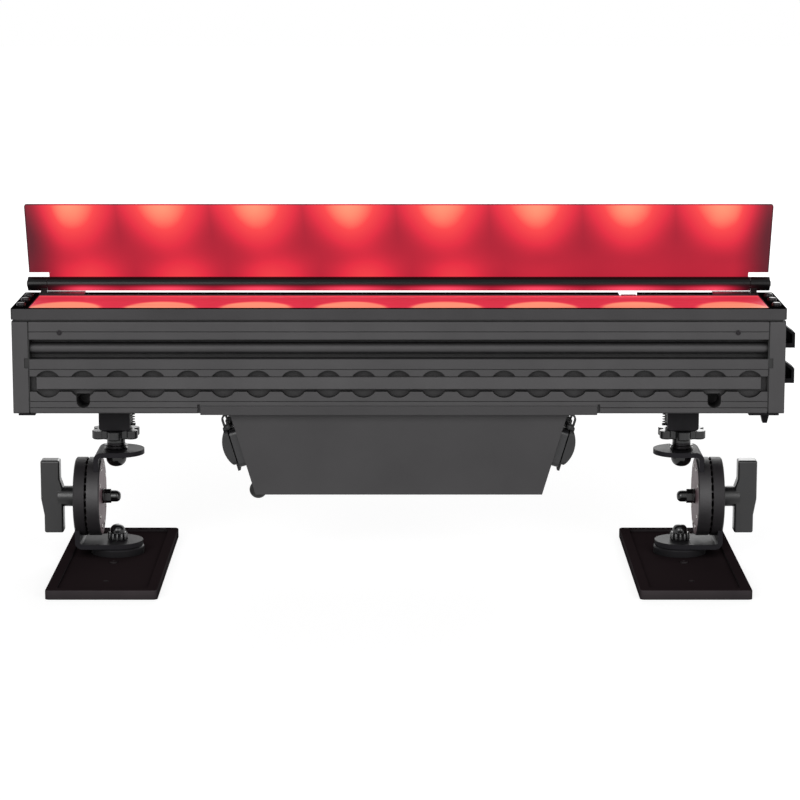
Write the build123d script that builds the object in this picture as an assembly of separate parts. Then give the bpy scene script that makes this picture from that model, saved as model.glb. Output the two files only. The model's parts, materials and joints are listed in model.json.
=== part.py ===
from build123d import *
import os
from math import atan, cos, degrees, pi, sin, sqrt

# Outdoor pixel batten on two adjustable feet: X runs along the bar, -Y faces the viewer, Z is up.
# Housing sizes are counted from its lower front edge: x from the middle, y backwards, z upwards.

# Extruded housing
cap_span = 498.0
cap_thick = 10.2
end_gasket_thick = 0.8
housing_depth = 76.0
body_height = 60.2
wall_thick = 2.5
corner_radius = 1.2
moulding_depth = 9.0
moulding_low = 35.6
moulding_high = 48.5
bulge_radius = 3.6
bulge_rise = 6.5
rail_channel_depth = 4.0
rail_channel_low = 14.4
rail_channel_high = 24.4
scallop_radius = 8.9
scallop_end_gap = 11.6
scallop_count = 21
hairline = 0.5
hairline_heights = (3.9, 8.0, 29.0, 53.5)
chamber_floor = 32.0
cable_duct_low = 15.5
cable_duct_high = 29.0
fin_depth = 8.0
fin_thick = 2.2
fin_pitch = 5.6
fin_count = 9
fin_low = 7.0
screw_port_radius = 3.6
screw_port_front = 12.6
screw_port_rear_inset = 13.6
screw_port_low = 7.4
screw_port_high = 35.2
track_slot = 9.2
track_cavity = 14.8
track_lip = 2.5
track_height = 8.2
rigging_hole_radius = 4.35
rigging_hole_depth = 20.0
rigging_hole_height = 8.0
rigging_slot_depth = 9.0
rigging_slot_top = 12.6
rigging_scallop = 9

# Rail across the scallops
rail_end_gap = 5.3
rail_low = 16.0
rail_high = 24.0
rail_proud = 0.4

# End caps, hooks and latch
cap_wall = 3.0
cap_notch_width = 2.4
cap_notch_low = 29.8
cap_notch_high = 36.2
end_screw_radius = 1.95
end_screw_head_radius = 3.5
end_screw_head = 2.2
end_screw_length = 20.0
head_clearance = 0.3
hook_reach = 7.5
hook_edge = 9.6
hook_rise = 5.5
hook_width = 14.0
hook_front = 11.0
hook_heights = (18.2, 41.4)
hook_wall = 1.8
hook_floor = 2.9
hook_recess = 10.0
end_plate_thick = 1.2
end_plate_end_gap = 3.3
end_plate_right = 19.4
end_plate_left = 10.7
end_plate_front = 0.5
end_plate_rear_inset = 8.0
latch_end_gap = 10.4
latch_back = 18.0
latch_drop = 7.4
latch_top_length = 6.4
latch_tip_length = 2.7
latch_width = 6.0
latch_pin_radius = 1.5

# Window frame, glass and filter
frame_gasket_thick = 1.2
frame_gasket_inset = 1.5
frame_gasket_width = 3.0
frame_height = 7.0
frame_proud = 0.5
frame_end_width = 10.7
frame_corner = 2.0
window_front = 4.9
window_rear = 11.8
window_end = 10.5
glass_thick = 5.0
glass_ledge = 2.2
frame_screw_radius = 1.6
frame_screw_head_radius = 3.0
frame_screw_head = 2.3
frame_screw_front = 13.4
frame_screw_rear_inset = 21.7
frame_screw_middle_offset = 2.0
front_screw_end_gap = 30.7
front_screw_height = 52.9
filter_thick = 1.5
filter_clearance = 0.5
filter_tab_place = 152.7
filter_tab_width = 9.6
filter_tab_depth = 4.4
filter_tab_height = 1.8
filter_notch_width = 12.6

# Light engine
pixel_count = 8
pixel_end_gap = 22.4
board_thick = 1.6
board_wall_gap = 6.05
board_end_gap = 3.0
chip_size = 8.0
chip_height = 1.2
lens_base_radius = 7.5
lens_top_radius = 15.0
lens_height = 21.0
lens_rim = 2.0

# Glare shield and its hinge
hinge_inset = 1.0
hinge_height = 74.35
tube_radius = 4.65
tube_bore_radius = 3.4
hinge_pin_radius = 1.8
hinge_pin_length = 20.0
knuckle_length = 12.8
knuckle_gap = 0.3
shield_inset = 1.8
bracket_length = 38.2
bracket_plate_thick = 1.0
bracket_plate_depth = 11.0
bracket_web_thick = 8.0
shield_thick = 1.5
shield_offset = 7.3
shield_start = 4.5
shield_top = 55.6
shield_lean = 22.0
shield_corner = 1.6
shield_flange = 1.5
shield_end_gap = 13.4
tube_bush_length = 14.0

# Driver box under the housing
box_top_half = 110.0
box_bottom_half = 93.5
box_height = 55.2
box_front = 8.0
box_wall = 2.0
box_flange_half = 128.2
box_flange_thick = 0.8
box_flange_inset = 6.0
box_lip_height = 5.0
box_lip_thick = 0.6
lip_groove_width = 1.6
lip_groove_depth = 1.5
lip_groove_height = 6.0
supply_length = 120.0
supply_width = 44.0
supply_height = 30.0
control_length = 36.0
control_width = 44.0
control_thick = 1.6
standoff_height = 4.0
standoff_radius = 2.2
terminal_height = 9.0
plug_radius = 5.8
plug_end_gap = 1.5
plug_back = 17.0
plug_rise = 1.7
plug_stem_radius = 1.5
plug_stem_inset = 3.0

# Connectors on the slanted sides
socket_spacing = 28.0
socket_top = 13.4
socket_length = 25.1
socket_width = 24.0
socket_flange = 5.0
socket_radius = 9.5
socket_bore_radius = 7.5
socket_bore_depth = 12.0
socket_floor = 2.0
socket_corner = 3.0
loop_length = 10.5
loop_width = 7.8
loop_strand = 1.3
loop_thick = 3.0
loop_offset = 4.5
loop_seat = 0.25
lid_pin_radius = 1.1
lid_pin_offset = 5.2
lid_pin_rise = 2.2
lid_barrel_radius = 1.8
lid_gap = 0.8
lid_thick = 6.0
lid_edge = 2.2
lid_rise = 0.9
lid_length = 23.5
lid_notch = 4.0
lid_arm_width = 14.0
lid_arm_thick = 2.8
lid_seal_radius = 8.6
lid_seal_width = 1.0
lid_tab_length = 5.5
lid_tab_width = 8.0
lid_tab_thick = 1.6

# Feet: heights are counted from the tilt axis unless they say otherwise
foot_end_gap = 62.2
housing_above_axis = 62.5
block_width = 20.4
block_depth = 20.0
block_height = 16.3
block_corner = 2.0
slide_gap = 0.3
spring_radius = 1.05
spring_wire_radius = 0.3
spring_pitch = 1.65
spring_turns = 7
spring_shelf_height = 1.2
spring_shelf_width = 3.6
clamp_bolt_radius = 4.0
clamp_head_length = 16.0
clamp_head_height = 4.0
collar_radius = 7.0
collar_height = 3.6
knob_radius = 16.7
knob_lobes = 6
knob_lobe_radius = 4.6
knob_thick = 5.5
knob_hub_radius = 6.0
knob_hub_height = 3.6
bracket_thick = 3.2
bracket_half_width = 17.0
bracket_bend = 5.0
upper_tab_top = 32.2
upper_tab_overhang = 1.6
dome_radius = 7.3
dome_height = 8.4
dome_flange = 1.6
dome_step = 0.6
rosette_radius = 26.0
rosette_inner_face = 9.5
rosette_split = 18.6
rosette_outer_face = 26.7
rosette_gap = 0.1
upper_leg_face = 10.4
rosette_seam_drop = 6.6
rosette_seam = 0.8
teeth_count = 30
tooth_height = 0.7
tooth_width = 2.8
tooth_length = 9.0
tilt_bolt_radius = 2.5
tilt_nut_flats = 8.2
tilt_nut_hex = 4.6
tilt_nut_length = 11.0
tilt_washer_thick = 1.0
handle_gap = 0.3
handle_stem_radius = 6.8
handle_stem_length = 9.6
handle_half_length = 24.4
handle_rise = 0.5
handle_thick = 12.6
handle_width = 11.0
handle_offset = 2.0
handle_outer_step = (-12.0, -1.0)
handle_inner_step = (6.0, 12.0)
handle_corner = 1.4
lower_tab_top = 29.5
base_disc_radius = 17.4
base_gap = 0.3
base_bolt_radius = 3.0
base_nut_flats = 10.4
base_nut_hex = 4.8
base_nut_height = 10.4

# Floor plates, counted from the floor and the foot's own axis
axis_above_floor = 42.5
plate_width = 70.7
plate_front = 111.9
plate_rear = 66.7
plate_thick = 6.0
tray_depth = 1.5
tray_rim = 6.6
plate_corner = 3.0
fixing_hole_radius = 2.2
fixing_hole_front = 81.0
plate_screw_front = 30.9
plate_screw_radius = 2.6
plate_screw_height = 1.0
bolt_head_radius = 5.0
bolt_head_height = 2.6

# Fits
seat_fit = 0.05
running_fit = 0.06
part_gap = 0.3

cap_outer = cap_span / 2
cap_inner = cap_outer - cap_thick
body_half = cap_inner - end_gasket_thick
foot_back = housing_depth / 2
foot_place = cap_outer - foot_end_gap
screw_port_rear = housing_depth - screw_port_rear_inset
scallop_pitch = 2 * (body_half - scallop_end_gap) / (scallop_count - 1)
rigging_place = rigging_scallop * scallop_pitch
front_screw_place = cap_outer - front_screw_end_gap
latch_place = cap_outer - latch_end_gap
frame_half = cap_outer + frame_proud
frame_end_inner = frame_half - frame_end_width
frame_low = body_height + frame_gasket_thick
frame_top = frame_low + frame_height
glass_top = frame_low + glass_thick
window_half = frame_half - window_end
window_back = housing_depth - window_rear
pixel_pitch = 2 * (body_half - pixel_end_gap) / (pixel_count - 1)
chamber_front = moulding_depth + wall_thick
chamber_rear = housing_depth - fin_depth - wall_thick
board_front = chamber_front + board_wall_gap
board_width = window_front + window_back - 2 * board_front
hinge_back = housing_depth - hinge_inset
shield_half_width = cap_outer - shield_inset
knuckle_inner = shield_half_width - knuckle_length
box_depth = housing_depth - 2 * box_front
box_middle = box_front + box_depth / 2
box_floor = box_wall - box_height
box_slope = (box_top_half - box_bottom_half) / box_height
wall_lean = atan(box_slope)
box_inner_top = box_top_half - box_wall / cos(wall_lean)
box_inner_bottom = box_inner_top + box_slope * box_floor
floor_gap = (2 * box_inner_bottom - supply_length - control_length) / 3
plug_place = plug_end_gap - box_bottom_half
plug_height = plug_rise - box_height
lid_top = socket_top - lid_rise
lid_bottom = lid_top + lid_length
housing_bottom = axis_above_floor + housing_above_axis
socket_lean = degrees(wall_lean)


def block(x, y, z):
    """A box from three (low, high) pairs."""
    spans = [(min(s), max(s)) for s in (x, y, z)]
    middle = [(a + b) / 2 for a, b in spans]
    return Pos(*middle) * Box(*[b - a for a, b in spans])


def rod(radius, low, high, axis, at):
    """A cylinder between two places on an axis; at gives the other two coordinates in order."""
    middle, length = (low + high) / 2, high - low
    if axis == "x":
        return Pos(middle, *at) * Rot(0, 90, 0) * Cylinder(radius, length)
    if axis == "y":
        return Pos(at[0], middle, at[1]) * Rot(90, 0, 0) * Cylinder(radius, length)
    return Pos(*at, middle) * Cylinder(radius, length)


def along_bar(sketch, half_length):
    """A (y, z) sketch pulled to both sides of the middle of the bar."""
    return extrude(Plane.YZ * sketch, amount=half_length, both=True)


def rectangle(y_low, y_high, z_low, z_high):
    return Pos((y_low + y_high) / 2, (z_low + z_high) / 2) * Rectangle(y_high - y_low, z_high - z_low)


def both_ends(shape):
    return [shape, mirror(shape, about=Plane.YZ)]


def group(solids):
    return Compound(children=[s for item in solids for s in item.solids()])


def in_housing(shape):
    """Moves a shape from the housing's own places to the foot frame on the floor."""
    return Pos(0, -foot_back, housing_bottom) * shape


def screw_ports():
    return [(y, z) for y in (screw_port_front, screw_port_rear) for z in (screw_port_low, screw_port_high)]


# Housing


def body_profile():
    outer = Pos(housing_depth / 2, body_height / 2) * RectangleRounded(
        housing_depth, body_height, corner_radius
    )
    moulding = rectangle(-1, moulding_depth, moulding_low, moulding_high)
    middle = (moulding_low + moulding_high) / 2
    bulge = Pos(bulge_rise, middle) * Circle(bulge_radius)
    bulge += rectangle(bulge_rise, chamber_front, middle - bulge_radius, middle + bulge_radius)
    profile = outer - moulding + bulge
    profile -= rectangle(-1, rail_channel_depth, rail_channel_low, rail_channel_high)
    for height in hairline_heights:
        profile -= rectangle(-1, hairline, height - hairline / 2, height + hairline / 2)
    hollows = rectangle(chamber_front, chamber_rear, chamber_floor, body_height + 1)
    hollows += rectangle(chamber_front, chamber_rear, cable_duct_low, cable_duct_high)
    behind_track = foot_back + track_cavity / 2 + wall_thick
    hollows += rectangle(behind_track, chamber_rear, wall_thick, cable_duct_low - wall_thick)
    for y, z in screw_ports():
        hollows -= Pos(y, z) * Circle(screw_port_radius)
    profile -= hollows
    track = rectangle(foot_back - track_slot / 2, foot_back + track_slot / 2, -1, track_lip + 1)
    track += rectangle(foot_back - track_cavity / 2, foot_back + track_cavity / 2, track_lip, track_height)
    profile -= track
    slot_high = fin_pitch - fin_thick
    for i in range(fin_count):
        low = fin_low + i * fin_pitch
        profile -= rectangle(housing_depth - fin_depth, housing_depth + 1, low, low + slot_high)
    return profile


def scallop_places():
    middle = (scallop_count - 1) / 2
    return [(i - middle) * scallop_pitch for i in range(scallop_count)]


def body_extrusion():
    body = along_bar(body_profile(), body_half)
    centre = (rail_channel_low + rail_channel_high) / 2
    cuts = [rod(scallop_radius, -1, rail_channel_depth, "y", (x, centre)) for x in scallop_places()]
    for x in (-rigging_place, rigging_place):
        cuts.append(rod(rigging_hole_radius, -1, rigging_hole_depth, "y", (x, rigging_hole_height)))
        slot = (x - rigging_hole_radius, x + rigging_hole_radius)
        cuts.append(block(slot, (-1, rigging_slot_depth), (rigging_hole_height, rigging_slot_top)))
    groove = box_flange_half + part_gap
    groove = block((groove, groove + lip_groove_width), (-1, lip_groove_depth), (-1, lip_groove_height))
    cuts += both_ends(groove)
    for x in (-front_screw_place, front_screw_place):
        cuts.append(rod(frame_screw_radius, -1, wall_thick * 2, "y", (x, front_screw_height)))
    depth = end_screw_length
    for y, z in screw_ports():
        bore = end_screw_radius + seat_fit
        cuts.append(rod(bore, body_half - depth, body_half + 1, "x", (y, z)))
        cuts.append(rod(bore, -body_half - 1, -body_half + depth, "x", (y, z)))
    return body - cuts


def front_rail():
    half = cap_inner - rail_end_gap
    rail = block((-half, half), (-rail_proud, rail_channel_depth), (rail_low, rail_high))
    return chamfer(rail.edges().filter_by(Axis.X).sort_by(Axis.Y)[:2], rail_proud)


def cap_outline(inset=0.0):
    return Pos(housing_depth / 2, body_height / 2) * RectangleRounded(
        housing_depth - 2 * inset, body_height - 2 * inset, corner_radius
    )


def end_cap():
    """The right-hand cap: a tray with posts for its four screws."""
    cap = Pos(cap_inner, 0, 0) * extrude(Plane.YZ * cap_outline(), amount=cap_thick)
    pocket = Pos(cap_inner, 0, 0) * extrude(Plane.YZ * cap_outline(cap_wall), amount=cap_thick - cap_wall)
    posts = [
        rod(end_screw_head_radius + wall_thick, cap_inner, cap_outer - 1, "x", (y, z))
        for y, z in screw_ports()
    ]
    cap = cap - pocket + [p & cap for p in posts]
    for y, z in screw_ports():
        cap -= rod(end_screw_radius + seat_fit, cap_inner - 1, cap_outer + 1, "x", (y, z))
        sink = end_screw_head_radius + head_clearance
        cap -= rod(sink, cap_outer - end_screw_head - head_clearance, cap_outer + 1, "x", (y, z))
    notch = block(
        (cap_inner - 1, cap_inner + cap_notch_width), (-1, cap_wall / 2), (cap_notch_low, cap_notch_high)
    )
    return cap - notch


def end_gasket():
    sheet = Pos(body_half, 0, 0) * extrude(Plane.YZ * cap_outline(hairline), amount=end_gasket_thick)
    for y, z in screw_ports():
        sheet -= rod(end_screw_radius + seat_fit, body_half - 1, cap_inner + 1, "x", (y, z))
    opening = block(
        (body_half - 1, cap_inner + 1),
        (screw_port_front + screw_port_radius + 1, screw_port_rear - screw_port_radius - 1),
        (cable_duct_low, body_height - wall_thick * 2),
    )
    tab = block(
        (body_half, cap_inner + cap_notch_width - seat_fit),
        (hairline, cap_wall / 2 - seat_fit),
        (cap_notch_low + seat_fit, cap_notch_high - seat_fit),
    )
    return sheet - opening + tab


def screws():
    """Screws through the caps into the body's ports, on the frame's end bars and in the front face."""
    seat = cap_outer - end_screw_head - head_clearance
    solids = frame_screws()
    for y, z in screw_ports():
        screw = rod(end_screw_radius, seat - end_screw_length, seat + 0.1, "x", (y, z))
        head = rod(end_screw_head_radius, seat, seat + end_screw_head, "x", (y, z))
        drive = rod(end_screw_radius / 2, seat + end_screw_head / 2, cap_outer, "x", (y, z))
        solids += both_ends(screw + head - drive)
    return group(solids)


def hook_outline(inner, outer, low, edge, top):
    """A lug's (x, z) outline: upright outer edge, and a slope down to it from the cap's side."""
    return make_face(Polyline((inner, low), (outer, low), (outer, edge), (inner, top), close=True))


def link_hooks():
    """Two lugs on the right-hand end, each with a recess in its front, that catch the next bar in a row."""
    outer = cap_outer + hook_reach
    slope = hook_rise / hook_reach
    solids = []
    for low in hook_heights:
        edge = low + hook_edge
        lug = hook_outline(cap_outer, outer, low, edge, edge + hook_rise)
        inner, recess_outer = cap_outer + hook_wall / 2, outer - hook_wall
        lift = slope * (recess_outer - inner)
        recess_edge = edge - hook_wall / 2
        recess = hook_outline(inner, recess_outer, low + hook_floor, recess_edge, recess_edge + lift)
        lug = extrude(Plane.XZ * lug, amount=-hook_width)
        recess = extrude(Plane.XZ * recess, amount=-hook_recess)
        solids.append(Pos(0, hook_front, 0) * (lug - recess))
    return group(solids)


def end_plates():
    """Thin plates that close the foot track at its ends; the right one carries the latch."""
    back = housing_depth - end_plate_rear_inset
    outer = cap_outer - end_plate_end_gap
    plates = []
    for low, high in ((outer - end_plate_right, outer), (-outer, end_plate_left - outer)):
        plates.append(block((low, high), (end_plate_front, back), (-end_plate_thick, 0)))
    plates[0] -= rod(latch_pin_radius + running_fit, -2 * end_plate_thick, 1, "z", (latch_place, latch_back))
    return group(plates)


def link_latch():
    """Turn latch hanging under the right-hand end on a short pin."""
    top = -end_plate_thick - part_gap
    outline = Polyline(
        (-latch_top_length / 2, top),
        (latch_top_length / 2, top),
        (latch_tip_length / 2, top - latch_drop),
        (-latch_tip_length / 2, top - latch_drop),
        close=True,
    )
    wedge = Pos(latch_place, latch_back - latch_width / 2, 0) * extrude(
        Plane.XZ * make_face(outline), amount=-latch_width
    )
    return wedge + rod(latch_pin_radius, top - 1, -part_gap, "z", (latch_place, latch_back))


# Window


def frame_gasket():
    """Ring between the housing and the window's frame, laid over the end caps too."""
    inset = frame_gasket_inset
    low, high = inset, housing_depth - inset
    end = cap_outer - inset
    inner = body_half - frame_gasket_width
    width = inset + frame_gasket_width
    ring = block((-end, end), (low, high), (body_height, frame_low))
    hole = block((-inner, inner), (low + width, high - width), (body_height - 1, frame_low + 1))
    return ring - hole


def glass_space():
    """The room for the glass under the frame's lips."""
    reach = window_half + glass_ledge
    front, back = window_front - glass_ledge, window_back + glass_ledge
    return block((-reach, reach), (front, back), (frame_low - 1, glass_top))


def frame_screw_places():
    front, rear = frame_screw_front, housing_depth - frame_screw_rear_inset
    middle = (front + rear) / 2 + frame_screw_middle_offset
    return [(frame_half - frame_end_width / 2, y) for y in (front, middle, rear)]


def window_frame():
    """Front bar, rear bar and two end bars, with a notch in the rear bar for the filter's tab."""
    length = (-frame_end_inner, frame_end_inner)
    front = block(length, (-frame_proud / 2, window_front), (frame_low, frame_top))
    rear = block(length, (window_back, housing_depth), (frame_low, frame_top))
    notch_low = filter_tab_place - filter_notch_width / 2
    notch_high = notch_low + filter_notch_width
    rear -= block((notch_low, notch_high), (window_back - 1, housing_depth + 1), (glass_top, frame_top + 1))
    end = block((frame_end_inner, frame_half), (-frame_proud / 2, housing_depth), (frame_low, frame_top))
    end = fillet(end.edges().filter_by(Axis.Z).sort_by(Axis.X)[-2:], frame_corner)
    for x, y in frame_screw_places():
        end -= rod(frame_screw_radius + seat_fit, frame_low - 1, frame_top + 1, "z", (x, y))
    return group([bar - glass_space() for bar in [front, rear] + both_ends(end)])


def frame_screws():
    solids = []
    for x, y in frame_screw_places():
        shank = rod(frame_screw_radius, frame_low, frame_top + 0.1, "z", (x, y))
        head = rod(frame_screw_head_radius, frame_top, frame_top + frame_screw_head, "z", (x, y))
        head = fillet(head.edges().group_by(Axis.Z)[-1], frame_screw_head / 2)
        solids += both_ends(shank + head)
    for x in (-front_screw_place, front_screw_place):
        head = rod(frame_screw_radius - seat_fit, -rail_proud, wall_thick * 2, "y", (x, front_screw_height))
        solids.append(head)
    return solids


def cover_glass():
    reach = window_half + glass_ledge - seat_fit
    return block(
        (-reach, reach),
        (window_front - glass_ledge + seat_fit, window_back + glass_ledge - seat_fit),
        (frame_low, glass_top),
    )


def diffuser_sheet():
    """Loose sheet on the glass, with a finger tab that is bonded to its rear edge."""
    reach = window_half - filter_clearance
    front, back = window_front + filter_clearance, window_back - filter_clearance
    sheet = block((-reach, reach), (front, back), (glass_top, glass_top + filter_thick))
    low = filter_tab_place - filter_tab_width / 2
    high = low + filter_tab_width
    tab = block((low, high), (back, back + filter_tab_depth), (glass_top, glass_top + filter_tab_height))
    return group([sheet, tab])


# Light engine


def pixel_places():
    middle = (pixel_count - 1) / 2
    return [(i - middle) * pixel_pitch for i in range(pixel_count)]


def board_span():
    return board_front, board_front + board_width


def led_board():
    reach = body_half - board_end_gap
    return block((-reach, reach), board_span(), (chamber_floor, chamber_floor + board_thick))


def led_chips():
    middle = sum(board_span()) / 2
    low = chamber_floor + board_thick
    half = chip_size / 2
    return group([
        block((x - half, x + half), (middle - half, middle + half), (low, low + chip_height))
        for x in pixel_places()
    ])


def pixel_lenses():
    """Collimators: a cone on the board, hollowed over its chip, with a flat rim at the top."""
    middle = sum(board_span()) / 2
    low = chamber_floor + board_thick
    solids = []
    for x in pixel_places():
        cone = Pos(x, middle, low + lens_height / 2) * Cone(lens_base_radius, lens_top_radius, lens_height)
        rim = rod(lens_top_radius, low + lens_height - 0.1, low + lens_height + lens_rim, "z", (x, middle))
        hollow = rod(chip_size * 0.8, low - 1, low + chip_height + part_gap, "z", (x, middle))
        solids.append(cone + rim - hollow)
    return group(solids)


# Glare shield


def hinge_brackets():
    """Plates on the rear bar, each with a web up to its fixed knuckle, and the pins in the knuckles."""
    outer = frame_end_inner - part_gap
    plate = block(
        (shield_half_width - bracket_length, outer),
        (housing_depth - bracket_plate_depth, housing_depth),
        (frame_top, frame_top + bracket_plate_thick),
    )
    ledge = block(
        (knuckle_inner, outer),
        (hinge_back - bracket_web_thick / 2, housing_depth),
        (frame_top, hinge_height),
    )
    knuckle = rod(tube_radius, knuckle_inner, shield_half_width, "x", (hinge_back, hinge_height))
    bore = rod(hinge_pin_radius + seat_fit, 0, shield_half_width - 1, "x", (hinge_back, hinge_height))
    pin_end = shield_half_width - 1
    pin = rod(hinge_pin_radius, pin_end - hinge_pin_length, pin_end, "x", (hinge_back, hinge_height))
    return group(both_ends(plate + ledge + knuckle - bore) + both_ends(pin))


def shield_tube():
    half = knuckle_inner - knuckle_gap
    at = (hinge_back, hinge_height)
    tube = rod(tube_radius, -half, half, "x", at)
    tube -= rod(tube_bore_radius, tube_bush_length - half, half - tube_bush_length, "x", at)
    return tube - rod(hinge_pin_radius + running_fit, -half - 1, half + 1, "x", at)


def glare_shield():
    """Flat sheet that stands behind the tube on a narrow flange, cut away above the knuckles."""
    full = shield_half_width
    near = full - shield_end_gap
    tall = (shield_start + shield_top) / 2
    sheet = Pos(0, tall) * Rectangle(2 * full, shield_top - shield_start)
    sheet = fillet(sheet.vertices().group_by(Axis.Y)[-1], shield_corner)
    low = -shield_flange / 2
    sheet += Pos(0, (low + shield_start) / 2) * Rectangle(2 * near, shield_start - low)
    sheet = Pos(0, shield_offset, 0) * extrude(Plane.XZ * sheet, amount=-shield_thick)
    flange = block((-near, near), (0, shield_offset + shield_thick), (low, -low))
    flange -= rod(tube_radius, -full, full, "x", (0, 0))
    return Pos(0, hinge_back, hinge_height) * Rot(shield_lean, 0, 0) * (sheet + flange)


# Driver box


def trapezoid(top_half, bottom_half, height):
    outline = Polyline(
        (-top_half, 0), (top_half, 0), (bottom_half, -height), (-bottom_half, -height), close=True
    )
    return make_face(outline)


def box_shell(front, depth, top_half, bottom_half, height):
    return Pos(0, front, 0) * extrude(Plane.XZ * trapezoid(top_half, bottom_half, height), amount=-depth)


def on_side(shape):
    """Carries a shape from the side wall's own frame to the right-hand wall.

    In that frame x points out of the wall, -z runs down the wall and y stays along the housing.
    """
    return Pos(box_top_half, 0, 0) * Rot(0, socket_lean, 0) * shape


def socket_backs():
    return (box_middle - socket_spacing / 2, box_middle + socket_spacing / 2)


def socket_middle():
    return -(socket_top + socket_length / 2)


def driver_box():
    shell = box_shell(box_front, box_depth, box_top_half, box_bottom_half, box_height)
    shell -= box_shell(
        box_front + box_wall, box_depth - 2 * box_wall, box_inner_top, box_inner_bottom, -box_floor
    )
    flange = block(
        (-box_flange_half, box_flange_half),
        (-box_lip_thick, housing_depth - box_flange_inset),
        (-box_flange_thick, 0),
    )
    hole_half = box_inner_top - wall_thick
    flange -= block(
        (-hole_half, hole_half), (box_front + box_wall, box_front + box_depth - box_wall), (-1, 1)
    )
    lip = block(
        (-box_flange_half, box_flange_half), (-box_lip_thick, 0), (-box_flange_thick, box_lip_height)
    )
    shell = shell + flange + lip
    for back in socket_backs():
        hole = on_side(rod(socket_radius + seat_fit, -3 * box_wall, box_wall, "x", (back, socket_middle())))
        shell -= both_ends(hole)
    return shell - rod(plug_stem_radius + seat_fit, -box_height - 1, box_floor + 1, "z", plug_stem_place())


def power_supply():
    half = supply_width / 2
    low = floor_gap - box_inner_bottom
    high = low + supply_length
    case = block((low, high), (box_middle - half, box_middle + half), (box_floor, box_floor + supply_height))
    return fillet(case.edges().filter_by(Axis.Z), 2 * box_wall)


def control_board():
    x_high = box_inner_bottom - floor_gap
    x_low = x_high - control_length
    y_low, y_high = box_middle - control_width / 2, box_middle + control_width / 2
    top = box_floor + standoff_height + control_thick
    board = block((x_low, x_high), (y_low, y_high), (box_floor + standoff_height, top))
    inset = 2 * standoff_radius
    for x in (x_low + inset, x_high - inset):
        for y in (y_low + inset, y_high - inset):
            board += rod(standoff_radius, box_floor, box_floor + standoff_height, "z", (x, y))
    terminals = block(
        (x_low + 2 * inset, x_high - 2 * inset), (y_low + inset, box_middle), (top, top + terminal_height)
    )
    return board + terminals


def plug_stem_place():
    return plug_place + plug_stem_inset, plug_back


def vent_plug():
    """Round vent that wraps the lower left corner of the driver box, on a stem through the box's floor."""
    ball = Pos(plug_place, plug_back, plug_height) * Sphere(plug_radius)
    ball -= box_shell(box_front, box_depth, box_top_half, box_bottom_half, box_height)
    return ball + rod(plug_stem_radius, -box_height - 1, box_floor, "z", plug_stem_place())


# Connectors


def lid_axis():
    """The lid's pin in the wall frame, across the lower part of the hinge loop."""
    return lid_pin_offset, lid_pin_rise - socket_top


def socket(back):
    """Chassis socket on the right-hand wall: flange, barrel, bore and one loop that holds the lid's pin."""
    z_low, z_high = -socket_top - socket_length, -socket_top
    half = socket_width / 2
    flange = block((0, socket_flange), (back - half, back + half), (z_low, z_high))
    flange = fillet(flange.edges().filter_by(Axis.X), socket_corner)
    inner = socket_flange - socket_bore_depth - socket_floor
    shape = flange + rod(socket_radius, inner, 1, "x", (back, socket_middle()))
    shape -= rod(
        socket_bore_radius, socket_flange - socket_bore_depth, socket_flange + 1, "x", (back, socket_middle())
    )
    outer = SlotOverall(loop_length, loop_width)
    inner_slot = SlotOverall(loop_length - 2 * loop_strand, loop_width - 2 * loop_strand)
    ring_face = Rot(0, 0, 90) * (outer - inner_slot)
    z_loop = z_high + loop_length / 2 - loop_seat
    ring = Pos(loop_offset, back - loop_thick / 2, z_loop) * extrude(Plane.XZ * ring_face, amount=-loop_thick)
    pin_half = lid_arm_width / 2
    return on_side(shape + ring + rod(lid_pin_radius, back - pin_half, back + pin_half, "y", lid_axis()))


def sockets():
    solids = []
    for back in socket_backs():
        solids += both_ends(socket(back))
    return group(solids)


def lid_slab(back, face):
    """Domed block: flat towards the socket, its outer side an arc from the top edge to the bottom one."""
    edge = face + lid_edge
    middle = (lid_top + lid_bottom) / 2
    dome = ThreePointArc((edge, -lid_top), (face + lid_thick, -middle), (edge, -lid_bottom))
    rest = Polyline((edge, -lid_bottom), (face, -lid_bottom), (face, -lid_top), (edge, -lid_top))
    side = make_face(Wire([dome] + rest.edges()))
    half = socket_width / 2
    slab = Pos(0, back - half, 0) * extrude(Plane.XZ * side, amount=-socket_width)
    front = Pos(back, -middle) * RectangleRounded(socket_width, lid_length, socket_corner)
    return slab & Pos(face, 0, 0) * extrude(Plane.YZ * front, amount=lid_thick)


def socket_lid(back):
    """Flip lid with two barrels on the loop's pin, a sealing ring and a pull tab."""
    x_pin, z_pin = lid_axis()
    face = socket_flange + lid_gap
    arm_half = lid_arm_width / 2
    arm = block((face, face + lid_arm_thick), (back - arm_half, back + arm_half), (-lid_top - 1, z_pin))
    barrel = rod(lid_barrel_radius, back - arm_half, back + arm_half, "y", (x_pin, z_pin))
    seal = rod(lid_seal_radius, face - lid_gap + part_gap, face + 1, "x", (back, socket_middle()))
    seal -= rod(lid_seal_radius - lid_seal_width, 0, face, "x", (back, socket_middle()))
    tab_half = lid_tab_width / 2
    tab_low = -lid_bottom - lid_tab_length
    tab = block((face, face + lid_tab_thick), (back - tab_half, back + tab_half), (tab_low, 1 - lid_bottom))
    lid = lid_slab(back, face) + arm + barrel + seal + tab
    notch_half = loop_thick / 2 + part_gap
    reach = 2 * lid_thick
    lid -= block((0, face + reach), (back - notch_half, back + notch_half), (z_pin - lid_notch, z_pin + reach))
    bore = rod(lid_pin_radius + running_fit, back - arm_half - 1, back + arm_half + 1, "y", (x_pin, z_pin))
    return on_side(lid - bore)


# Feet: the right-hand foot about its own upright axis, z counted from the tilt axis


def on_foot(shape):
    return Pos(foot_place, 0, axis_above_floor) * shape


def block_low():
    return housing_above_axis - slide_gap - block_height


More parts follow.
